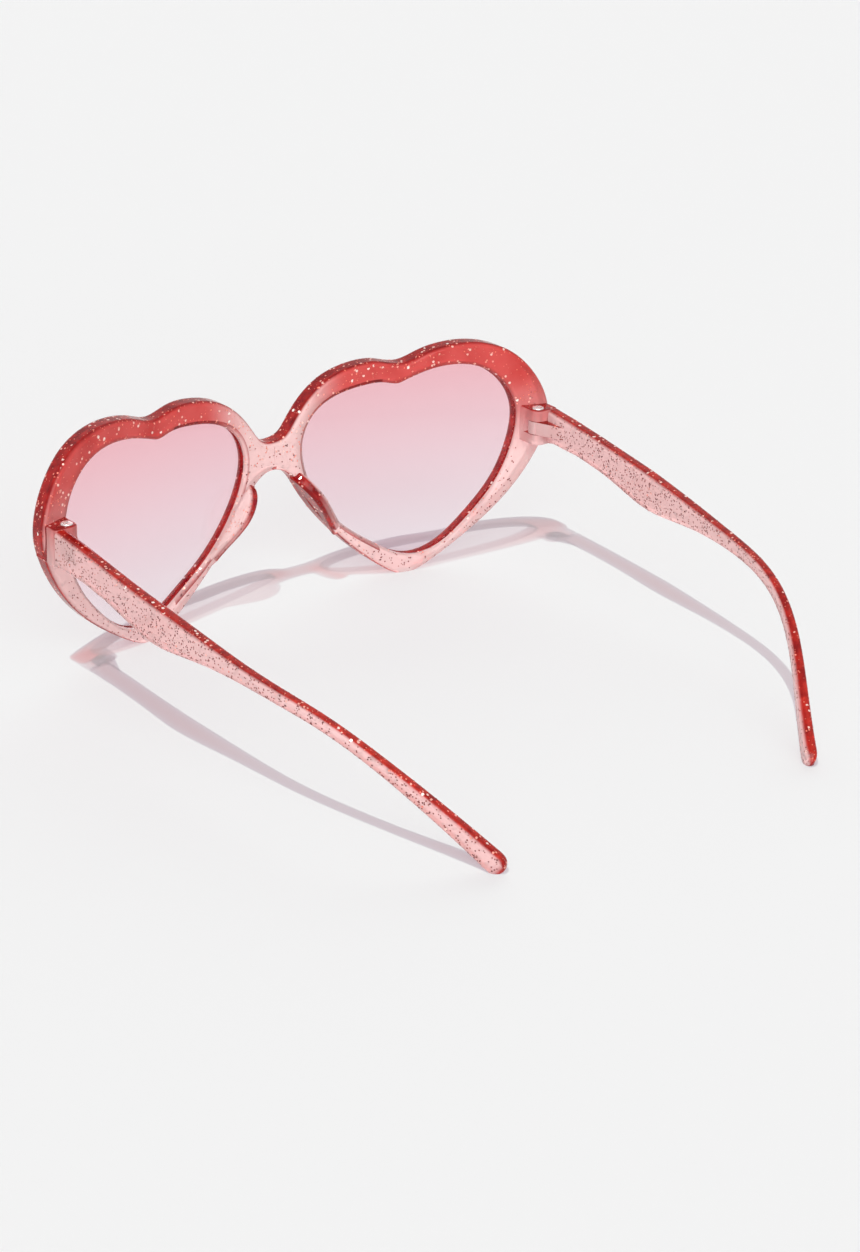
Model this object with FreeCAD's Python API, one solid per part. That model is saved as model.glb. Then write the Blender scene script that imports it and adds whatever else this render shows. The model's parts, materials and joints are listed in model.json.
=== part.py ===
import FreeCAD, Part
import math
import os

# Heart shaped sunglasses: one moulded front, two lenses, two folding temples, two hinge screws with nuts.
# Lengths are millimetres and angles are degrees. X runs to the wearer's left, Y to the back, Z up.
# The glasses stand on the two heart points and the two temple tips, as on a table.
# Pieces are built with Y counted from the middle of the bridge, then set about the centre of the whole.

# Front: two heart rims, bridge and foot flats, bent round one upright cylinder
half_span = 73.0
heart_height = 57.2
rim_thickness = 4.8
wrap_radius = 194.0
bridge_top = 40.4
bridge_depth = 7.2
foot_trim = 0.6
rim_edge_round = 1.1

# Rim widths round the lens opening
nasal_gap = 4.9
nasal_rim = 3.7
outer_rim = 8.1
top_rim = 5.2
foot_rim = 4.2

# Lens and the groove that it snaps into
lens_thickness = 1.8
groove_depth = 0.8
groove_clearance = 0.05

# Nose pads, moulded on the back of the nasal rims
pad_length = 23.0
pad_reach = 4.6
pad_thickness = 2.8
pad_edge_round = 1.0

# Hinge: two knuckles on the front, one on the temple, about an upright screw
hinge_inset = 5.3
hinge_offset = 3.4
knuckle_radius = 2.3
barrel_height = 9.0
middle_knuckle = 3.2
knuckle_gap = 0.15
butt_gap = 0.2
lug_setback = 0.8
lug_edge_round = 0.9
knuckle_edge_round = 0.6

# Screw and nut
screw_radius = 0.7
screw_clearance = 0.05
head_radius = 1.4
head_height = 0.9
head_proud = 0.3
head_clearance = 0.1
head_edge_round = 0.25
slot_width = 0.4
slot_depth = 0.35
nut_across_flats = 2.6
nut_height = 1.1
nut_clearance = 0.05
thread_clearance = 0.01

# Temples
temple_reach = 124.5
temple_inset = 24.8
temple_height = 8.8
temple_thickness = 3.5
temple_set_out = 3.0
web_length = 6.5
right_temple_ajar = 1.6

# One overrun for every cut
overrun = 1.0

# Outer outline of one heart, from the bridge to its point: shares of half_span and heart_height
upper_outline_shares = [
    (0.045, 0.722), (0.081, 0.777), (0.140, 0.868), (0.214, 0.933), (0.310, 0.968), (0.402, 0.969),
    (0.492, 0.947), (0.566, 0.975), (0.655, 1.000), (0.755, 0.997), (0.861, 0.949), (0.946, 0.843),
    (0.990, 0.728), (1.000, 0.640), (0.973, 0.512), (0.904, 0.358), (0.797, 0.208), (0.664, 0.079),
    (0.585, 0.018),
]
# The heart's point, across the half span
foot_middle_share = 0.506
# From the heart's point back to the underside of the bridge
lower_outline_shares = [
    (0.425, 0.0382), (0.329, 0.1363), (0.205, 0.2952), (0.110, 0.4619), (0.068, 0.540), (0.036, 0.570),
]
# Lens opening: shares of its own width and height, from the notch round the outer lobe
opening_shares = [
    (0.478, 0.942), (0.540, 0.966), (0.610, 0.988), (0.700, 1.000), (0.833, 0.975), (0.941, 0.883),
    (1.000, 0.735), (0.989, 0.558), (0.920, 0.348), (0.792, 0.158), (0.657, 0.029), (0.567, 0.000),
    (0.487, 0.015), (0.362, 0.096), (0.217, 0.219), (0.083, 0.402), (0.011, 0.583), (0.000, 0.725),
    (0.055, 0.856), (0.158, 0.927), (0.300, 0.957), (0.402, 0.953),
]
# Height of the hinge's middle on the heart
hinge_height_share = 0.6208
# Nose pad profile along the nasal rim: shares of its length and reach
pad_profile_shares = [(0.10, 0.60), (0.30, 1.00), (0.56, 0.78), (0.78, 0.38), (0.92, 0.12)]
pad_top_share = 0.530
# Depth in the rim's wall where the pad starts, counted from the wall's middle
pad_root_share = 0.25
# Where an edge is sampled, and how near the wall's face it counts as lying on it
edge_sample_shares = (0.2, 0.5, 0.8)
edge_match_share = 0.01
# Temple stations: shares of its reach, inset, the hinge's height, its own height and thickness
temple_shares = [
    (0.000, 0.000, 1.000, 1.000, 1.00),
    (0.116, -0.004, 0.972, 0.865, 1.00),
    (0.221, -0.004, 0.915, 0.945, 1.00),
    (0.301, 0.004, 0.868, 1.045, 1.00),
    (0.365, 0.020, 0.854, 0.910, 0.97),
    (0.446, 0.044, 0.844, 0.650, 0.90),
    (0.542, 0.081, 0.818, 0.445, 0.82),
    (0.639, 0.145, 0.777, 0.375, 0.76),
    (0.735, 0.274, 0.696, 0.352, 0.73),
    (0.831, 0.488, 0.524, 0.364, 0.74),
    (0.920, 0.758, 0.287, 0.445, 0.80),
    (1.000, 1.000, 0.056, 0.545, 0.84),
]
temple_section_count = 26
# Rounded end of the tip: shares of half its height, and of its size there
tip_dome_shares = [(0.55, 0.84), (0.86, 0.52), (1.00, 0.14)]
section_round_share = 0.34


def sag(x):
    """How far the wrapped middle surface lies behind the bridge at this distance from the middle."""
    return wrap_radius - math.sqrt(wrap_radius ** 2 - x ** 2)


def wrapped_shell(thickness):
    """The wall of the wrap cylinder with this thickness, tall enough for the whole front."""
    tall = heart_height + foot_trim + 3 * overrun
    base = FreeCAD.Vector(0, wrap_radius, -foot_trim - overrun)
    outer = Part.makeCylinder(wrap_radius + thickness / 2, tall, base)
    inner = Part.makeCylinder(wrap_radius - thickness / 2, tall, base)
    return outer.cut(inner)


def closed_curve(points):
    """A smooth closed wire through these points."""
    curve = Part.BSplineCurve()
    curve.interpolate(points, PeriodicFlag=True)
    return Part.Wire(curve.toShape())


def prism(wire):
    """The upright outline carried front to back through the whole wrap of the front."""
    face = Part.Face(wire)
    face.translate(FreeCAD.Vector(0, -rim_thickness, 0))
    return face.extrude(FreeCAD.Vector(0, sag(half_span) + 2 * rim_thickness, 0))


def mirrored(shape):
    return shape.mirror(FreeCAD.Vector(0, 0, 0), FreeCAD.Vector(1, 0, 0))


def front_outline():
    """Both hearts and the bridge as one closed curve, whose heart points reach just below the table."""
    half = [(x * half_span, z * heart_height) for x, z in upper_outline_shares]
    half += [(foot_middle_share * half_span, -foot_trim)]
    half += [(x * half_span, z * heart_height) for x, z in lower_outline_shares]
    other = [(-x, z) for x, z in reversed(half)]
    points = [(0, bridge_top)] + half + [(0, bridge_top - bridge_depth)] + other
    return closed_curve([FreeCAD.Vector(x, 0, z) for x, z in points])


def opening_points():
    left = nasal_gap + nasal_rim
    width = half_span - outer_rim - left
    height = heart_height - top_rim - foot_rim
    return [(left + x * width, foot_rim + z * height) for x, z in opening_shares]


def opening_wire(grow):
    """The lens opening's closed curve, with each of its points moved outwards by grow."""
    path = [FreeCAD.Vector(x, 0, z) for x, z in opening_points()]
    curve = Part.BSplineCurve()
    curve.interpolate(path, PeriodicFlag=True)
    if grow:
        moved = []
        for point in path:
            along = curve.tangent(curve.parameter(point))[0]
            moved.append(point + FreeCAD.Vector(-along.z, 0, along.x) * grow)
        return closed_curve(moved)
    return Part.Wire(curve.toShape())


def wrapped_edges(shape, thickness):
    """The edges of a wrapped wall that run round its outlines on the front and back faces."""
    found = []
    for edge in shape.Edges:
        reaches = []
        first, last = edge.ParameterRange
        for share in edge_sample_shares:
            point = edge.valueAt(first + share * (last - first))
            reaches.append(math.hypot(point.x, point.y - wrap_radius))
        for radius in (wrap_radius - thickness / 2, wrap_radius + thickness / 2):
            if max(abs(reach - radius) for reach in reaches) < edge_match_share * thickness:
                found.append(edge)
    return found


hinge_x = half_span - hinge_inset
hinge_y = sag(half_span - hinge_inset) + rim_thickness / 2 + hinge_offset
hinge_z = hinge_height_share * heart_height
barrel_base = hinge_z - barrel_height / 2
barrel_top = hinge_z + barrel_height / 2
middle_base = hinge_z - middle_knuckle / 2
butt_y = hinge_y + knuckle_radius
lug_outer_x = half_span - lug_setback
lug_root_y = sag(hinge_x)
head_seat = barrel_top - head_height + head_proud


def upright_cylinder(radius, base, height):
    return Part.makeCylinder(radius, height, FreeCAD.Vector(hinge_x, hinge_y, base))


def block(x0, x1, y0, y1, z0, z1):
    return Part.makeBox(x1 - x0, y1 - y0, z1 - z0, FreeCAD.Vector(x0, y0, z0))


def below_table():
    """Everything under the table that the glasses stand on."""
    reach = butt_y + 2 * temple_reach
    return block(-reach, reach, -reach, reach, -heart_height, 0)


def hinge_lug():
    """The left end lug with its upper and lower knuckles, slotted for the temple's knuckle."""
    lug = block(hinge_x, lug_outer_x, lug_root_y, butt_y, barrel_base, barrel_top)
    outer_edges = [edge for edge in lug.Edges if edge.BoundBox.XMin > lug_outer_x - overrun / 2
                   and edge.BoundBox.YMin > lug_root_y + overrun / 2]
    lug = lug.makeFillet(lug_edge_round, outer_edges)
    inner = block(hinge_x - knuckle_radius, hinge_x, lug_root_y, hinge_y, barrel_base, barrel_top)
    lug = lug.fuse([inner, upright_cylinder(knuckle_radius, barrel_base, barrel_height)]).removeSplitter()
    level_edges = [edge for edge in lug.Edges if edge.BoundBox.ZMin > hinge_z or edge.BoundBox.ZMax < hinge_z]
    lug = lug.makeFillet(knuckle_edge_round, level_edges)
    slot_base = middle_base - knuckle_gap
    slot_height = middle_knuckle + 2 * knuckle_gap
    slot_reach = knuckle_radius + butt_gap
    slot = upright_cylinder(slot_reach, slot_base, slot_height)
    way = block(hinge_x - slot_reach - overrun, hinge_x + slot_reach, hinge_y, butt_y + overrun,
                slot_base, slot_base + slot_height)
    swing = block(hinge_x - slot_reach - overrun, hinge_x, hinge_y - slot_reach, hinge_y,
                  slot_base, slot_base + slot_height)
    screw_way = upright_cylinder(screw_radius + screw_clearance, barrel_base - overrun,
                                 barrel_height + 2 * overrun)
    head_way = upright_cylinder(head_radius + head_clearance, head_seat, head_height)
    nut_way = hex_prism(nut_across_flats + 2 * nut_clearance, barrel_base - overrun, overrun + nut_height)
    return lug.cut([slot, way, swing, screw_way, head_way, nut_way])


def nose_pad():
    """The left nose pad: a rounded flange that stands back from the nasal rim and tapers downwards."""
    low_x_share, low_z_share = lower_outline_shares[2]
    top = FreeCAD.Vector(lower_outline_shares[4][0] * half_span, 0, pad_top_share * heart_height)
    low = FreeCAD.Vector(low_x_share * half_span, 0, low_z_share * heart_height)
    along = (low - top).normalize()
    inward = FreeCAD.Vector(-along.z, 0, along.x)
    back = FreeCAD.Vector(0, 1, 0)
    rear = rim_thickness / 2
    start = top + back * (pad_root_share * rim_thickness)
    end = start + along * pad_length
    crest = [start]
    for share, reach_share in pad_profile_shares:
        crest.append(top + along * (share * pad_length) + back * (rear + reach_share * pad_reach))
    crest.append(end)
    curve = Part.BSplineCurve()
    curve.interpolate(crest)
    face = Part.Face(Part.Wire([curve.toShape(), Part.LineSegment(end, start).toShape()]))
    pad = face.extrude(inward * pad_thickness)
    crest_edges = [edge for edge in pad.Edges if edge.BoundBox.YMax > rear + pad_reach / 2]
    return pad.makeFillet(pad_edge_round, crest_edges)


def hex_prism(across_flats, base, height):
    """An upright hexagon about the hinge axis."""
    corner = across_flats / math.sqrt(3)
    ring = []
    for turn in range(7):
        angle = math.radians(60 * turn)
        x = hinge_x + corner * math.cos(angle)
        y = hinge_y + corner * math.sin(angle)
        ring.append(FreeCAD.Vector(x, y, base))
    return Part.Face(Part.makePolygon(ring)).extrude(FreeCAD.Vector(0, 0, height))


def make_front():
    """Rims, bridge, nose pads and hinge lugs as one moulding, with a groove round each opening."""
    body = prism(front_outline()).common(wrapped_shell(rim_thickness))
    opening = prism(opening_wire(0))
    groove = prism(opening_wire(groove_depth + groove_clearance))
    groove = groove.common(wrapped_shell(lens_thickness + 2 * groove_clearance))
    body = body.cut([opening, groove, mirrored(opening), mirrored(groove)])
    body = body.makeFillet(rim_edge_round, wrapped_edges(body, rim_thickness))
    body = body.cut(below_table())
    added = [hinge_lug().cut(groove), nose_pad().cut([opening, groove])]
    return body.fuse(added + [mirrored(piece) for piece in added])


def make_lens():
    return prism(opening_wire(groove_depth)).common(wrapped_shell(lens_thickness))


def make_screw():
    """The left hinge screw: a round head with a driver slot and a plain shank down to the nut."""
    head = upright_cylinder(head_radius, head_seat, head_height)
    head_top = head_seat + head_height
    slot_base = head_top - slot_depth
    slot_reach = head_radius + overrun
    rim = [edge for edge in head.Edges if edge.isClosed() and edge.BoundBox.ZMin > slot_base]
    head = head.makeFillet(head_edge_round, rim)
    slot = block(hinge_x - slot_reach, hinge_x + slot_reach,
                 hinge_y - slot_width / 2, hinge_y + slot_width / 2, slot_base, head_top + overrun)
    shank = upright_cylinder(screw_radius, barrel_base, head_seat - barrel_base)
    return head.cut(slot).fuse(shank).removeSplitter()


def make_nut():
    """The left hexagon nut, sunk in the underside of the lower knuckle."""
    nut = hex_prism(nut_across_flats, barrel_base, nut_height)
    bore = upright_cylinder(screw_radius + thread_clearance, barrel_base - overrun, nut_height + 2 * overrun)
    return nut.cut(bore)


def rounded_section(middle, side, up, width, height):
    """A closed section of this width and height about its middle, with rounded corners."""
    radius = section_round_share * min(width, height)
    bulge = radius * (1 - math.sqrt(0.5))
    half_w = width / 2
    half_h = height / 2
    edges = []

    def at(across, rise):
        return middle + side * across + up * rise

    for sx, sz in ((1, 1), (-1, 1), (-1, -1), (1, -1)):
        on_side = at(sx * half_w, sz * (half_h - radius))
        on_end = at(sx * (half_w - radius), sz * half_h)
        bow = at(sx * (half_w - bulge), sz * (half_h - bulge))
        pair = (on_side, on_end) if sx * sz > 0 else (on_end, on_side)
        edges.append((pair[0], bow, pair[1]))
    parts = []
    for index, (begin, bow, finish) in enumerate(edges):
        following = edges[(index + 1) % len(edges)][0]
        parts.append(Part.Arc(begin, bow, finish).toShape())
        parts.append(Part.LineSegment(finish, following).toShape())
    return Part.Wire(parts)


def temple_sections():
    """Sections of the left temple from its butt to the rounded tip, square to its middle line."""
    places = []
    sizes = []
    for reach_share, inset_share, rise_share, height_share, thick_share in temple_shares:
        x = hinge_x + temple_set_out - inset_share * temple_inset
        y = butt_y + butt_gap + reach_share * temple_reach
        places.append(FreeCAD.Vector(x, y, rise_share * hinge_z))
        sizes.append(FreeCAD.Vector(thick_share * temple_thickness, height_share * temple_height, 0))
    steps = [station[0] for station in temple_shares]
    middle_line = Part.BSplineCurve()
    middle_line.interpolate(places, Parameters=steps)
    size_line = Part.BSplineCurve()
    size_line.interpolate(sizes, Parameters=steps)
    sections = []
    for index in range(temple_section_count + 1):
        step = index / temple_section_count
        middle = middle_line.value(step)
        size = size_line.value(step)
        along = middle_line.tangent(step)[0]
        if index == 0:
            along = FreeCAD.Vector(0, 1, 0)
        side = along.cross(FreeCAD.Vector(0, 0, 1)).normalize()
        up = side.cross(along).normalize()
        sections.append(rounded_section(middle, side, up, size.x, size.y))
    for out_share, size_share in tip_dome_shares:
        end = middle + along * (out_share * size.y / 2)
        sections.append(rounded_section(end, side, up, size.x * size_share, size.y * size_share))
    return sections


def make_temple():
    """The left temple: a slim arm with a belly behind the hinge, bent down and in to its tip."""
    arm = Part.makeLoft(temple_sections(), True, False).cut(below_table())
    inner_x = hinge_x + temple_set_out - temple_thickness / 2
    far_y = butt_y + butt_gap + web_length
    ring = [
        FreeCAD.Vector(hinge_x - knuckle_radius, hinge_y, middle_base),
        FreeCAD.Vector(hinge_x + knuckle_radius, hinge_y, middle_base),
        FreeCAD.Vector(hinge_x + knuckle_radius, far_y, middle_base),
        FreeCAD.Vector(inner_x + knuckle_gap, far_y, middle_base),
    ]
    web = Part.Face(Part.makePolygon(ring + ring[:1])).extrude(FreeCAD.Vector(0, 0, middle_knuckle))
    temple = arm.fuse([web, upright_cylinder(knuckle_radius, middle_base, middle_knuckle)]).removeSplitter()
    return temple.cut(upright_cylinder(screw_radius + screw_clearance, middle_base - overrun,
                                       middle_knuckle + 2 * overrun))


def make_pieces():
    left_temple = make_temple()
    right_temple = mirrored(left_temple)
    right_temple.rotate(FreeCAD.Vector(-hinge_x, hinge_y, 0), FreeCAD.Vector(0, 0, 1), -right_temple_ajar)
    lens = make_lens()
    screw = make_screw()
    nut = make_nut()
    return {
        "front_frame": make_front(),
        "left_lens": lens,
        "right_lens": mirrored(lens),
        "left_temple": left_temple,
        "right_temple": right_temple,
        "left_hinge_screw": screw,
        "right_hinge_screw": mirrored(screw),
        "left_hinge_nut": nut,
        "right_hinge_nut": mirrored(nut),
    }


pieces = make_pieces()
whole = Part.makeCompound(list(pieces.values())).optimalBoundingBox(False)
to_middle = FreeCAD.Vector(0, -(whole.YMin + whole.YMax) / 2, 0)
os.makedirs("parts", exist_ok=True)
for name, shape in pieces.items():
    solid = shape.Solids[0] if len(shape.Solids) == 1 else shape
    placed = solid.copy()
    placed.translate(to_middle)
    placed.exportStep("parts/" + name + ".step")
    box = placed.optimalBoundingBox(False)
    print(name, "solids", len(placed.Solids), "valid", placed.isValid(), "volume", round(placed.Volume, 1),
          "x", round(box.XMin, 2), round(box.XMax, 2), "y", round(box.YMin, 2), round(box.YMax, 2),
          "z", round(box.ZMin, 2), round(box.ZMax, 2))
print("hinge axis", round(hinge_x, 3), round(hinge_y + to_middle.y, 3), round(hinge_z, 3))
print("bridge middle y", round(to_middle.y, 3))
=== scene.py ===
# Heart shaped sunglasses in clear coral plastic with glitter, standing open on a pale table.
# Lengths are metres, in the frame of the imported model: X to the wearer's left, Y to the back, Z up.
import json
import math

import bpy
import numpy as np
from mathutils import Matrix, Vector


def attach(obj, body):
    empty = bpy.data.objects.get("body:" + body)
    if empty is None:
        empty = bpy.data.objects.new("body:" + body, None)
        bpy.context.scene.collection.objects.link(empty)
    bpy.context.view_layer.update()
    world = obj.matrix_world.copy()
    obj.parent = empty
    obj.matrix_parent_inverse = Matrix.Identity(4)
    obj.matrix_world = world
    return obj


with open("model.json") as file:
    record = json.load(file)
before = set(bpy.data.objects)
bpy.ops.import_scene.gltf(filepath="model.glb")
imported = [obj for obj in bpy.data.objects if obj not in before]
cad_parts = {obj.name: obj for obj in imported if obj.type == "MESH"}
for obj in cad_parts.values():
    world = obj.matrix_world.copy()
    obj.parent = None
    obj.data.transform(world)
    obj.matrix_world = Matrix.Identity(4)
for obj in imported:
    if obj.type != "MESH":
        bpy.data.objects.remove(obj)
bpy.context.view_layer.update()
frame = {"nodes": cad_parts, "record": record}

# Front: one moulding of clear coral plastic that holds both lenses, the bridge and the nose pads.
# It is injection moulded with glitter in the melt and polished in the mould. Its broad faces are pale
# at the foot and coral at the top, painted shade for the deeper colour that light takes on inside the
# rounded upper rim. Its narrow walls, where the plastic lies deep, are a dark red, painted shade for
# the long way that light goes through the plastic there.


def feed(tree, socket, value):
    """Give an input its value: a socket that is linked to it, or a plain number, vector or colour."""
    if isinstance(value, bpy.types.NodeSocket):
        tree.links.new(value, socket)
    elif socket.type == "RGBA":
        socket.default_value = (*value, 1)
    else:
        socket.default_value = value


def add_node(tree, kind, place, **values):
    """One node at a place on the sheet. Values set its properties, or its inputs where no property fits."""
    node = tree.nodes.new(kind)
    node.location = place
    for name, value in values.items():
        if hasattr(node, name):
            setattr(node, name, value)
        else:
            feed(tree, node.inputs[name.replace("_", " ")], value)
    return node


def maths(tree, place, operation, *values):
    """The result of one operation on numbers."""
    node = add_node(tree, "ShaderNodeMath", place, operation=operation)
    for socket, value in zip(node.inputs, values):
        feed(tree, socket, value)
    return node.outputs["Value"]


def vector_maths(tree, place, operation, *values):
    """The result of one operation on vectors. A dot product and a length are numbers."""
    node = add_node(tree, "ShaderNodeVectorMath", place, operation=operation)
    for socket, value in zip(node.inputs, values):
        feed(tree, socket, value)
    return node.outputs["Value" if operation in ("DOT_PRODUCT", "LENGTH") else "Vector"]


def map_range(tree, place, value, start, end, low=0.0, high=1.0, curve="LINEAR"):
    """A number that runs from low to high as value runs from start to end, and stays there beyond them."""
    node = add_node(tree, "ShaderNodeMapRange", place, interpolation_type=curve)
    names = ("Value", "From Min", "From Max", "To Min", "To Max")
    for name, given in zip(names, (value, start, end, low, high)):
        feed(tree, node.inputs[name], given)
    return node.outputs["Result"]


def noise(tree, place, spot, scale, detail):
    """A cloudy number between 0 and 1 at a spot."""
    node = add_node(tree, "ShaderNodeTexNoise", place, Vector=spot, Scale=scale, Detail=detail)
    return node.outputs["Fac"]


def blend_colours(tree, place, share, first, second):
    """The colour that runs from first to second with share."""
    node = add_node(tree, "ShaderNodeMix", place, data_type="RGBA")
    sockets = {socket.identifier: socket for socket in node.inputs}
    feed(tree, sockets["Factor_Float"], share)
    feed(tree, sockets["A_Color"], first)
    feed(tree, sockets["B_Color"], second)
    return next(socket for socket in node.outputs if socket.identifier == "Result_Color")


# Facings are shares of a unit normal. A face turns to a wall as its share along the broad axis falls.
wall_facing = (0.40, 0.94)
# The painted coral shade fades in over these distances from the middle, so that the bridge is pale.
bridge_fade = (0.006, 0.021)
# The sides of the nose pads turn to walls towards the nose, up to this distance from the middle.
pad_limit = 0.03
pad_facing = (0.55, -0.10)
# The tops of the hinge lugs lie past this distance from the middle and face up.
lug_start = 0.06
lug_facing = (0.5, 0.9)
# A lens opening goes round this point, and its walls start this far past the least reach.
heart_centre = (0.037, 0, 0.030)
opening_start = 0.0012
# The lens groove, with both flanks, by its distance from the upright axis.
groove_reach = 0.194
groove_half_width = 0.0014
# Clouds of painted shade in the coral, streaks of painted light in the walls and flow marks: scale
# and detail, and the part that shows.
cloud_grain = (110.0, 3.0)
cloud_range = (0.42, 0.72)
cloud_depth = 0.6
streak_grain = (420.0, 3.0)
streak_range = (0.35, 0.68)
flow_grain = (160.0, 2.0)
flow_range = (0.35, 0.70)
polish_roughness = (0.02, 0.06)


def plastic_tint_group():
    """Colour, roughness and height of the moulded plastic.

    Colour runs from the low to the high tint with height above the table and away from the bridge, and
    clouds deepen it; this coral and its clouds are painted shade for the deeper colour that light takes
    on inside the upper rim. It turns to the wall tint, painted shade for the long way that light goes
    through the plastic, which glows in painted streaks of light, where the surface faces away from the
    broad axis, if it lies no nearer to the upright axis than the least reach. Nearer than that, only the
    sides of the nose pads that face the nose and the tops of the hinge lugs are walls. The lens openings
    are walls from their groove on, with both of its flanks. Height is a soft noise, the flow marks of a
    moulding.
    """
    group = bpy.data.node_groups.new("moulded plastic", "ShaderNodeTree")
    sockets = group.interface
    for name in ("Low tint", "High tint", "Wall tint", "Wall glow"):
        sockets.new_socket(name, in_out="INPUT", socket_type="NodeSocketColor")
    for name in ("Low height", "High height", "Least reach"):
        sockets.new_socket(name, in_out="INPUT", socket_type="NodeSocketFloat")
    for name in ("Broad axis", "Upright axis"):
        sockets.new_socket(name, in_out="INPUT", socket_type="NodeSocketVector")
    sockets.new_socket("Colour", in_out="OUTPUT", socket_type="NodeSocketColor")
    sockets.new_socket("Roughness", in_out="OUTPUT", socket_type="NodeSocketFloat")
    sockets.new_socket("Height", in_out="OUTPUT", socket_type="NodeSocketFloat")
    given = add_node(group, "NodeGroupInput", (-900, 0)).outputs
    surface = add_node(group, "ShaderNodeTexCoord", (-900, 320)).outputs
    spot = surface["Object"]
    normal = surface["Normal"]
    place = add_node(group, "ShaderNodeSeparateXYZ", (-700, 320), Vector=spot).outputs
    turned = add_node(group, "ShaderNodeSeparateXYZ", (-700, -640), Vector=normal).outputs

    # The left and right halves are alike, so both are read as the left one.
    from_middle = maths(group, (-500, 520), "ABSOLUTE", place["X"])
    half = maths(group, (-700, -800), "SIGN", place["X"])
    outward = maths(group, (-500, -640), "MULTIPLY", turned["X"], half)

    # Painted shade: the coral deepens with height and away from the bridge, for the deeper colour inside
    # the upper rim.
    rise = map_range(group, (-500, 320), place["Z"], given["Low height"], given["High height"],
                     curve="SMOOTHSTEP")
    aside = map_range(group, (-280, 520), from_middle, *bridge_fade, curve="SMOOTHSTEP")
    coral_painted_shade = maths(group, (-280, 320), "MULTIPLY", rise, aside)
    even = blend_colours(group, (-100, 320), coral_painted_shade, given["Low tint"], given["High tint"])
    # Painted shade: clouds deepen the coral towards the wall glow.
    cloud = noise(group, (-500, 760), spot, *cloud_grain)
    patch = map_range(group, (-280, 760), cloud, *cloud_range, high=cloud_depth)
    deeper = maths(group, (-100, 620), "MULTIPLY", patch, coral_painted_shade)
    body = blend_colours(group, (100, 420), deeper, even, given["Wall glow"])

    # Walls are painted a deep red, painted shade for the long way that light goes through the plastic.
    along = vector_maths(group, (-700, 60), "DOT_PRODUCT", normal, given["Broad axis"])
    facing = maths(group, (-500, 60), "ABSOLUTE", along)
    wall = map_range(group, (-280, 20), facing, *wall_facing, 1.0, 0.0, "SMOOTHSTEP")
    apart = vector_maths(group, (-700, -420), "SUBTRACT", spot, given["Upright axis"])
    level = vector_maths(group, (-500, -420), "MULTIPLY", apart, (1, 1, 0))
    reach = vector_maths(group, (-280, -420), "LENGTH", level)
    half_spot = add_node(group, "ShaderNodeCombineXYZ", (-500, -1640), X=from_middle, Z=place["Z"])
    half_normal = add_node(group, "ShaderNodeCombineXYZ", (-500, -1840), X=outward, Z=turned["Z"])
    from_heart = vector_maths(group, (-280, -1640), "SUBTRACT", half_spot.outputs[0], heart_centre)
    parting = vector_maths(group, (-60, -1640), "DOT_PRODUCT", from_heart, half_normal.outputs[0])
    lens_side = maths(group, (120, -1640), "LESS_THAN", parting, 0)
    start = maths(group, (300, -1640), "MULTIPLY_ADD", lens_side, opening_start, given["Least reach"])
    past = maths(group, (-60, -420), "GREATER_THAN", reach, start)
    rim_edge = maths(group, (120, -400), "MULTIPLY", wall, past)

    noseward = map_range(group, (-280, -640), outward, *pad_facing)
    middle = maths(group, (-280, -900), "LESS_THAN", from_middle, pad_limit)
    pad_side = maths(group, (-60, -640), "MULTIPLY", noseward, middle)
    short = maths(group, (120, -560), "SUBTRACT", 1, past)
    pad_edge = maths(group, (120, -720), "MULTIPLY", pad_side, short)
    edged = maths(group, (300, -400), "MAXIMUM", rim_edge, pad_edge)

    upward = map_range(group, (-280, -1240), turned["Z"], *lug_facing)
    outer = maths(group, (-280, -1440), "GREATER_THAN", from_middle, lug_start)
    lug = maths(group, (-60, -1240), "MULTIPLY", upward, outer)
    groove = maths(group, (-60, -1040), "COMPARE", reach, groove_reach, groove_half_width)
    hidden = maths(group, (120, -1040), "MAXIMUM", lug, groove)
    walled = maths(group, (300, -20), "MAXIMUM", edged, hidden)

    # Painted light: the wall red glows in streaks.
    streak = noise(group, (-500, -1040), spot, *streak_grain)
    lively = map_range(group, (-280, -1040), streak, *streak_range)
    lit_wall = blend_colours(group, (120, -160), lively, given["Wall tint"], given["Wall glow"])
    tint = blend_colours(group, (300, 160), walled, body, lit_wall)
    flow = noise(group, (-500, -200), spot, *flow_grain)
    haze = map_range(group, (-280, -240), flow, *flow_range, *polish_roughness)
    add_node(group, "NodeGroupOutput", (520, 0), Colour=tint, Roughness=haze, Height=flow)
    return group


def new_finish(name):
    """A material with an empty node sheet, and that sheet."""
    finish = bpy.data.materials.new(name)
    finish.use_nodes = True
    finish.node_tree.nodes.clear()
    return finish, finish.node_tree


def lamp_rays(tree, place):
    """1 for the rays that bring light to other things, and 0 for those that show the surface."""
    ray = add_node(tree, "ShaderNodeLightPath", (place[0] - 200, place[1])).outputs
    return maths(tree, place, "MAXIMUM", ray["Is Shadow Ray"], ray["Is Diffuse Ray"])


def mix_shaders(tree, place, share, first, second):
    """The shader that turns from first to second with share."""
    node = add_node(tree, "ShaderNodeMixShader", place)
    for socket, value in zip(node.inputs, (share, first, second)):
        feed(tree, socket, value)
    return node.outputs["Shader"]


plastic_tint = plastic_tint_group()
plastic_ior = 1.5
wrap_axis = (0, 0.121511, 0)


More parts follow.
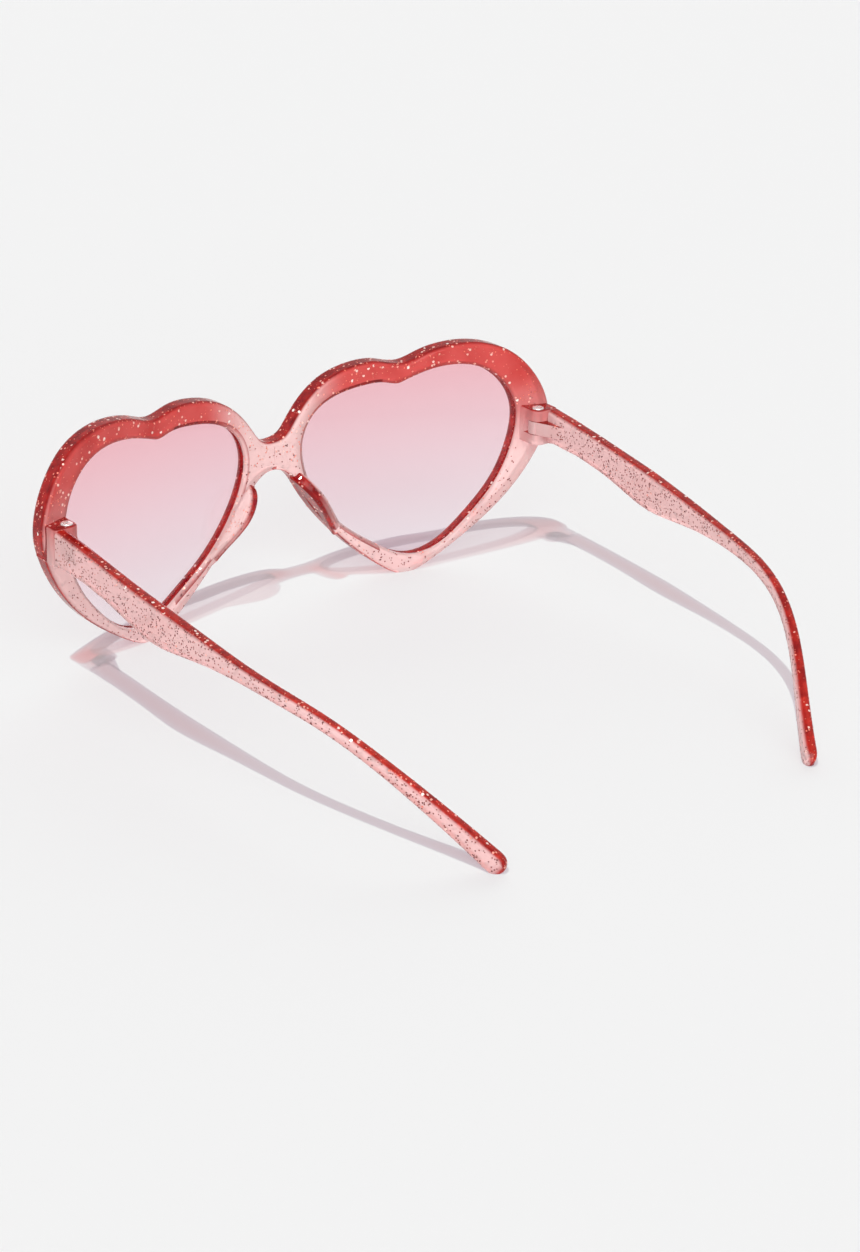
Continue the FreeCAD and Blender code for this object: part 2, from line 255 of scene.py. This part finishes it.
def clear_plastic(name, tints, heights, broad_axis, least_reach, shadow_tint, low_shadow_tint=None):
    """Clear tinted plastic: a glass shader with colour in its depth, which lamps shine through softly.

    A low shadow tint lets more light through where the plastic is pale, below the first height.
    """
    finish, tree = new_finish(name)
    # The group's colour holds painted shade and painted light, as well as the plastic's own pale tint.
    tint = add_node(tree, "ShaderNodeGroup", (-700, 0), node_tree=plastic_tint, Low_tint=tints[0],
                    High_tint=tints[1], Wall_tint=tints[2], Wall_glow=tints[3], Low_height=heights[0],
                    High_height=heights[1], Broad_axis=broad_axis, Upright_axis=wrap_axis,
                    Least_reach=least_reach).outputs
    swell = add_node(tree, "ShaderNodeBump", (-460, -200), Strength=0.05, Distance=0.0005,
                     Height=tint["Height"])
    skin = add_node(tree, "ShaderNodeBsdfPrincipled", (-220, 0), Base_Color=tint["Colour"],
                    Roughness=tint["Roughness"], Normal=swell.outputs["Normal"], IOR=plastic_ior,
                    Transmission_Weight=0.5, Specular_IOR_Level=0.08)
    shade = shadow_tint
    if low_shadow_tint:
        spot = add_node(tree, "ShaderNodeTexCoord", (-1100, -420)).outputs["Object"]
        place = add_node(tree, "ShaderNodeSeparateXYZ", (-900, -420), Vector=spot).outputs
        rise = map_range(tree, (-700, -420), place["Z"], *heights)
        shade = blend_colours(tree, (-460, -420), rise, low_shadow_tint, shadow_tint)
    clear = add_node(tree, "ShaderNodeBsdfTransparent", (-220, -420), Color=shade)
    passing = lamp_rays(tree, (-220, 360))
    lit = mix_shaders(tree, (60, 0), passing, skin.outputs["BSDF"], clear.outputs["BSDF"])
    depth = add_node(tree, "ShaderNodeVolumeAbsorption", (60, -240), Color=(0.95, 0.10, 0.08), Density=60.0)
    add_node(tree, "ShaderNodeOutputMaterial", (300, 0), Surface=lit, Volume=depth.outputs["Volume"])
    return finish


def dress(node, finish):
    """Give a CAD node its finish, in place of the one that it came with."""
    piece = frame["nodes"][node]
    piece.data.materials.clear()
    piece.data.materials.append(finish)
    return piece


front_axis = (0, 1, 0)
rim_reach = 0.1914
coral_heights = (0.026, 0.049)
# The coral is painted shade for the deeper colour inside the upper rim, the wall red is painted shade for
# the long way through the plastic, and the glow is painted light in streaks and clouds.
front_pale = (1.00, 0.78, 0.76)
front_coral = (0.78, 0.11, 0.10)
front_wall = (0.24, 0.000, 0.002)
front_glow = (0.52, 0.014, 0.010)
front_shadow = (0.68, 0.63, 0.69)
front_low_shadow = (0.92, 0.88, 0.90)
front_tints = (front_pale, front_coral, front_wall, front_glow)
front_plastic = clear_plastic("front glitter plastic with painted shade", front_tints, coral_heights, front_axis, rim_reach,
                              front_shadow, front_low_shadow)
dress("front_frame", front_plastic)


def colour_ramp(tree, place, share, low, middle, high):
    """The colour that runs through three tints with share."""
    node = add_node(tree, "ShaderNodeValToRGB", place, Fac=share)
    stops = node.color_ramp.elements
    stops[0].color = (*low, 1)
    stops[1].color = (*high, 1)
    stops.new(0.5).color = (*middle, 1)
    return node.outputs["Color"]


# The flake colours are painted light: painted shade, then a rose and a bright painted glint.
flake_painted_shade = (0.12, 0.03, 0.035)
flake_painted_rose_light = (0.80, 0.20, 0.13)
flake_painted_glint = (1.00, 0.96, 0.90)


def flake_film_painted_light():
    """Metallised film, coloured by painted light: a painted glint, or painted shade against the light."""
    finish, tree = new_finish("glitter film with painted light")
    painted_light_tone = add_node(tree, "ShaderNodeAttribute", (-600, 0), attribute_name="painted_light_tone").outputs["Fac"]
    shade = colour_ramp(tree, (-400, 0), painted_light_tone, flake_painted_shade, flake_painted_rose_light, flake_painted_glint)
    skin = add_node(tree, "ShaderNodeBsdfPrincipled", (-100, 0), Base_Color=shade, Metallic=0.3,
                    Roughness=0.3)
    add_node(tree, "ShaderNodeOutputMaterial", (200, 0), Surface=skin.outputs["BSDF"])
    return finish


glitter_film_painted_light = flake_film_painted_light()
flake_radius = 0.00026
flake_thickness = 0.00003
flake_lift = 0.00001
flake_tilt = 0.04
flake_corners = 6
# A face whose facing along the broad axis is below this share is an edge of the sheet or moulding.
edge_facing = 0.6
# The border of the deep colour is blurred, and this share of the flakes below it gets the painted glint
# too.
deep_blur = 0.003
stray_share = 0.06
# A flake with a painted glint has a least size and brightness, and its glint draw, which is mostly
# low, adds up to the second value.
glint_curve = (0.6, 1.9)
bright_size = (0.45, 1.2)
painted_glint_tone = (0.25, 0.75)
# A flake in painted shade has a size and a painted darkness between these.
dark_size = (0.5, 0.9)
painted_shade_tone = (0.0, 0.12)
# No flake lies this near to a hinge, below the tops of the lugs.
hinge_place = frame["record"]["behaviour"]["joints"][0]["pos_m"]
hinge_reach = 0.0052
lug_top = 0.0399


def skin_points(node, count, rng, broad_axis, wall_share):
    """Points drawn evenly by area on a CAD node, their outward facings, and whether each is on a wall.

    A point is the mean of a triangle's corners, weighted by three shares that add up to one. Walls get the
    wall share of the points that fall on as much of a broad face. Points at the table or near a hinge,
    except on the tops of its lugs, are left out, so that nothing rubs.
    """
    mesh = frame["nodes"][node].data
    mesh.calc_loop_triangles()
    corners = np.empty(len(mesh.vertices) * 3)
    mesh.vertices.foreach_get("co", corners)
    indices = np.empty(len(mesh.loop_triangles) * 3, dtype=np.int32)
    mesh.loop_triangles.foreach_get("vertices", indices)
    triangles = corners.reshape(-1, 3)[indices.reshape(-1, 3)]
    first, second, third = (triangles[:, corner] for corner in range(3))
    outward = np.cross(second - first, third - first)
    area = np.linalg.norm(outward, axis=1)
    on_wall = np.abs(outward @ broad_axis) < edge_facing * area
    chance = area * np.where(on_wall, wall_share, 1)
    picked = rng.choice(len(area), count, p=chance / chance.sum())
    weights = rng.dirichlet((1, 1, 1), count)
    points = np.einsum("ij,ijk->ik", weights, triangles[picked])
    from_hinge = np.hypot(np.abs(points[:, 0]) - hinge_place[0], points[:, 1] - hinge_place[1])
    kept = (from_hinge > hinge_reach) | (points[:, 2] > lug_top)
    kept &= points[:, 2] > 2 * flake_radius
    picked = picked[kept]
    return points[kept], outward[picked] / area[picked, None], on_wall[picked]


def flake_mesh(name, centres, facing, across, radius):
    """One hexagonal prism for each flake.

    Six corners lie at r(cos t, sin t) in the directions across and beside, with t in even steps of a turn,
    half the thickness behind the centre and half before it.
    """
    beside = np.cross(facing, across)
    step = np.arange(flake_corners)
    turn = step * 2 * math.pi / flake_corners
    ring = np.cos(turn)[None, :, None] * across[:, None, :]
    ring = ring + np.sin(turn)[None, :, None] * beside[:, None, :]
    ring = ring * radius[:, None, None] + centres[:, None, :]
    lift = (facing * flake_thickness / 2)[:, None, :]
    points = np.concatenate([ring - lift, ring + lift], axis=1).reshape(-1, 3)
    start = (np.arange(len(centres)) * 2 * flake_corners)[:, None]
    base = (start + step[::-1]).tolist()
    top = (start + step + flake_corners).tolist()
    after = (step + 1) % flake_corners
    sides = np.stack([step, after, after + flake_corners, step + flake_corners], axis=1)
    sides = (start[:, :, None] + sides[None]).reshape(-1, 4).tolist()
    mesh = bpy.data.meshes.new(name)
    mesh.from_pydata(points.tolist(), [], base + top + sides)
    return mesh


def glitter(name, node, count, seed, broad_axis, deep_height, wall_share):
    """Hexagonal flakes that lie nearly flat in the skin of a CAD node, at points drawn on its surface.

    Where the plastic is deep in colour, on its walls and above the deep height, a flake is larger and
    gets a painted glint by its glint draw. Elsewhere it is small and painted dark, painted shade against
    the light.
    """
    rng = np.random.default_rng(seed)
    places, outward, on_wall = skin_points(node, count, rng, broad_axis, wall_share)
    count = len(places)
    deep = (places[:, 2] > deep_height + rng.normal(0, deep_blur, count)) | on_wall
    deep |= rng.uniform(size=count) < stray_share
    centres = places + outward * (flake_lift - flake_thickness / 2)
    facing = outward + flake_tilt * rng.normal(size=(count, 3))
    facing /= np.linalg.norm(facing, axis=1, keepdims=True)
    across = np.cross(facing, rng.normal(size=(count, 3)))
    across /= np.linalg.norm(across, axis=1, keepdims=True)
    # Painted light: the glint draw sets a flake's size and, where the colour is deep, its painted glint.
    glint = rng.beta(*glint_curve, count)
    size = np.where(deep, bright_size[0] + bright_size[1] * glint, rng.uniform(*dark_size, count))
    painted_light_tone = np.where(deep, painted_glint_tone[0] + painted_glint_tone[1] * glint, rng.uniform(*painted_shade_tone, count))
    flakes = flake_mesh(name, centres, facing, across, flake_radius * size)
    point_painted_light_tones = np.repeat(painted_light_tone, 2 * flake_corners)
    flakes.attributes.new("painted_light_tone", "FLOAT", "POINT").data.foreach_set("value", point_painted_light_tones)
    flakes.materials.append(glitter_film_painted_light)
    piece = bpy.data.objects.new(name, flakes)
    bpy.context.scene.collection.objects.link(piece)
    piece.visible_shadow = False
    return piece


front_flakes = 4000
front_seed = 11
front_deep_height = 0.038
front_wall_share = 1
front_glitter = glitter("front_glitter", "front_frame", front_flakes, front_seed, front_axis,
                        front_deep_height, front_wall_share)
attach(front_glitter, "front")

# Lenses: two heart shaped sheets of clear polycarbonate, bent to the wrap of the front and snapped into
# its grooves. They are dyed rose, deepest at the top edge and nearly clear at the foot.

dye_heights = (0.004, 0.053)
dye_foot = (0.95, 0.90, 0.94)
dye_middle = (0.96, 0.72, 0.78)
dye_top = (0.96, 0.52, 0.58)
lens_shadow = (0.88, 0.80, 0.83)


def lens_tint():
    """Clear sheet whose dye fades from the top edge to the foot. Its cut edge lets the rim show through."""
    finish, tree = new_finish("faded rose lens")
    surface = add_node(tree, "ShaderNodeTexCoord", (-1000, 0)).outputs
    place = add_node(tree, "ShaderNodeSeparateXYZ", (-800, 0), Vector=surface["Object"]).outputs
    rise = map_range(tree, (-620, 0), place["Z"], *dye_heights)
    dye = colour_ramp(tree, (-440, 0), rise, dye_foot, dye_middle, dye_top)
    skin = add_node(tree, "ShaderNodeBsdfPrincipled", (-120, 0), Base_Color=dye, IOR=plastic_ior,
                    Transmission_Weight=1.0, Roughness=0.0)
    clear = add_node(tree, "ShaderNodeBsdfTransparent", (-120, -420), Color=lens_shadow)
    turned = add_node(tree, "ShaderNodeSeparateXYZ", (-800, -240), Vector=surface["Normal"]).outputs
    facing = maths(tree, (-620, -240), "ABSOLUTE", turned["Y"])
    edge = maths(tree, (-440, -240), "LESS_THAN", facing, edge_facing)
    passing = maths(tree, (60, 360), "MAXIMUM", lamp_rays(tree, (-120, 360)), edge)
    lit = mix_shaders(tree, (160, 0), passing, skin.outputs["BSDF"], clear.outputs["BSDF"])
    add_node(tree, "ShaderNodeOutputMaterial", (360, 0), Surface=lit)
    return finish


faded_rose = lens_tint()
for node in ("left_lens", "right_lens"):
    dress(node, faded_rose)

# Temples: two slim arms of the same plastic and glitter, deeper behind the hinge and bent down to the ear.
# Each is one moulding with its hinge knuckle. Its broad sides are pale and its narrow edges dark red,
# painted shade for the long way that light goes through the plastic there.

temple_axis = (1, 0, 0)
temple_pale = (1.00, 0.72, 0.70)
# The wall red is painted shade for the long way through the plastic, and the glow is painted light in its
# streaks.
temple_wall = (0.28, 0.000, 0.000)
temple_glow = (0.62, 0.020, 0.008)
temple_shadow = (0.74, 0.69, 0.74)
# The painted coral shade and its clouds start above the temples, so their pale tint stays even, and
# walls may lie at any reach.
cloud_heights = (0.10, 0.12)
any_reach = 0
temple_tints = (temple_pale, temple_pale, temple_wall, temple_glow)
temple_plastic = clear_plastic("temple glitter plastic with painted shade", temple_tints, cloud_heights, temple_axis,
                               any_reach, temple_shadow)
temple_flakes = 2200
temple_deep_height = 0.060
temple_wall_share = 0.5
for node, seed in (("left_temple", 21), ("right_temple", 31)):
    dress(node, temple_plastic)
    temple_glitter = glitter(node + "_glitter", node, temple_flakes, seed, temple_axis, temple_deep_height,
                             temple_wall_share)
    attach(temple_glitter, node)

# Hinge screws and nuts: a small screw of bright plated steel pins each temple, and a hexagon nut under the
# lug holds it. They are turned on a lathe, which leaves faint marks. They cast no shadow, as the plastic
# round them scatters the light.

steel_dark = (0.80, 0.79, 0.78)
steel_bright = (0.95, 0.94, 0.93)
steel_grain = (2600.0, 3.0)
steel_roughness = (0.16, 0.34)


def plated_steel():
    """Bright plated steel with faint turning marks."""
    finish, tree = new_finish("plated screw steel")
    spot = add_node(tree, "ShaderNodeTexCoord", (-800, 0)).outputs["Object"]
    marks = noise(tree, (-600, 0), spot, *steel_grain)
    shade = blend_colours(tree, (-400, 120), marks, steel_dark, steel_bright)
    wear = map_range(tree, (-400, -160), marks, 0, 1, *steel_roughness)
    skin = add_node(tree, "ShaderNodeBsdfPrincipled", (-120, 0), Base_Color=shade, Metallic=0.7,
                    Roughness=wear)
    add_node(tree, "ShaderNodeOutputMaterial", (160, 0), Surface=skin.outputs["BSDF"])
    return finish


screw_steel = plated_steel()
for node in ("left_hinge_screw", "right_hinge_screw", "left_hinge_nut", "right_hinge_nut"):
    dress(node, screw_steel).visible_shadow = False

# Table, light and camera: a wide matt pale table, one key lamp from above that throws short clear shadows,
# broad soft fill lamps beside the camera and before the front, and a pale sky, brighter at the horizon.

table_reach = 6.0
table_tone = 0.888
table_mesh = bpy.data.meshes.new("pale_table")
table_corners = [(-table_reach, -table_reach, 0), (table_reach, -table_reach, 0),
                 (table_reach, table_reach, 0), (-table_reach, table_reach, 0)]
table_mesh.from_pydata(table_corners, [], [(0, 1, 2, 3)])
table_finish, table_tree = new_finish("matt pale table")
table_skin = add_node(table_tree, "ShaderNodeBsdfPrincipled", (0, 0), Base_Color=[table_tone] * 3,
                      Roughness=1.0, Specular_IOR_Level=0.0)
add_node(table_tree, "ShaderNodeOutputMaterial", (300, 0), Surface=table_skin.outputs["BSDF"])
table_mesh.materials.append(table_finish)
pale_table = bpy.data.objects.new("pale_table", table_mesh)
bpy.context.scene.collection.objects.link(pale_table)


def direction(azimuth, rise):
    """The way to a place at an azimuth from the front towards the wearer's left and a rise, in radians."""
    return Vector((math.sin(azimuth) * math.cos(rise), -math.cos(azimuth) * math.cos(rise),
                   math.sin(rise)))


def sun_lamp(name, to_lamp, energy, spread):
    """A far lamp in the direction to_lamp, as wide in the sky as the spread in degrees."""
    light = bpy.data.lights.new(name, "SUN")
    light.energy = energy
    light.angle = math.radians(spread)
    lamp = bpy.data.objects.new(name, light)
    lamp.rotation_euler = to_lamp.to_track_quat("Z", "Y").to_euler()
    bpy.context.scene.collection.objects.link(lamp)
    return lamp


# Shares of the light on the table. The sky has what the lamps leave, and the gain sets the level of all.
key_share = 0.55
fill_share = 0.55
front_share = 0.35
fill_azimuth = math.radians(153)
front_azimuth = math.radians(320)
fill_rise = math.radians(20)
key_spread = 0.4
fill_spread = 60
light_gain = 1.035
to_key = Vector((0.42, 0.26, 1.0)).normalized()
sun_lamp("key_lamp", to_key, light_gain * key_share * math.pi / to_key.z, key_spread)
to_fill = direction(fill_azimuth, fill_rise)
sun_lamp("fill_lamp", to_fill, light_gain * fill_share * math.pi, fill_spread)
to_front = direction(front_azimuth, fill_rise)
front_lamp = sun_lamp("front_lamp", to_front, light_gain * front_share * math.pi, fill_spread)
front_lamp.visible_glossy = False

# The horizon's share counts for a third of the sky's light on the table, and the zenith's for two thirds.
sky_share = 1 - key_share - (fill_share + front_share) * math.sin(fill_rise)
horizon_share = 1.8
zenith_share = (3 - horizon_share) / 2
sky = bpy.data.worlds.new("even_sky")
sky.use_nodes = True
sky_tree = sky.node_tree
sky_tree.nodes.clear()
sky_ray = add_node(sky_tree, "ShaderNodeLightPath", (-700, 200)).outputs
seen = maths(sky_tree, (-500, 200), "MAXIMUM", sky_ray["Is Camera Ray"], sky_ray["Is Transmission Ray"])
shown = maths(sky_tree, (-320, 200), "MAXIMUM", seen, sky_ray["Is Glossy Ray"])
sky_spot = add_node(sky_tree, "ShaderNodeTexCoord", (-900, -100)).outputs["Generated"]
sky_place = add_node(sky_tree, "ShaderNodeSeparateXYZ", (-700, -100), Vector=sky_spot).outputs
sky_light = map_range(sky_tree, (-500, -100), sky_place["Z"], 0, 1, sky_share * light_gain * horizon_share,
                      sky_share * light_gain * zenith_share)
strength = add_node(sky_tree, "ShaderNodeMix", (-140, 200), data_type="FLOAT", Factor=shown, A=sky_light,
                    B=table_tone)
glow = add_node(sky_tree, "ShaderNodeBackground", (60, 0), Strength=strength.outputs[0])
add_node(sky_tree, "ShaderNodeOutputWorld", (260, 0), Surface=glow.outputs["Background"])
bpy.context.scene.world = sky

view_azimuth = math.radians(141.8)
view_elevation = math.radians(23.12)
view_roll = math.radians(1.29)
view_distance = 0.77971
view_target = Vector((0.00778, 0.000711, 0.020))
photo_height = 1252
focal_pixels = 3500.06
back = direction(view_azimuth, view_elevation)
right = Vector((0, 0, 1)).cross(back).normalized()
up = back.cross(right)
rolled_right = right * math.cos(view_roll) + up * math.sin(view_roll)
rolled_up = up * math.cos(view_roll) - right * math.sin(view_roll)
photo_view = bpy.data.cameras.new("photo_view")
photo_view.sensor_width = 36
photo_view.lens = focal_pixels * photo_view.sensor_width / photo_height
camera = bpy.data.objects.new("photo_view", photo_view)
view_turn = Matrix((rolled_right, rolled_up, back)).transposed()
camera.matrix_world = Matrix.Translation(view_target + back * view_distance) @ view_turn.to_4x4()
bpy.context.scene.collection.objects.link(camera)
bpy.context.scene.camera = camera
bpy.context.scene.view_settings.view_transform = "Standard"
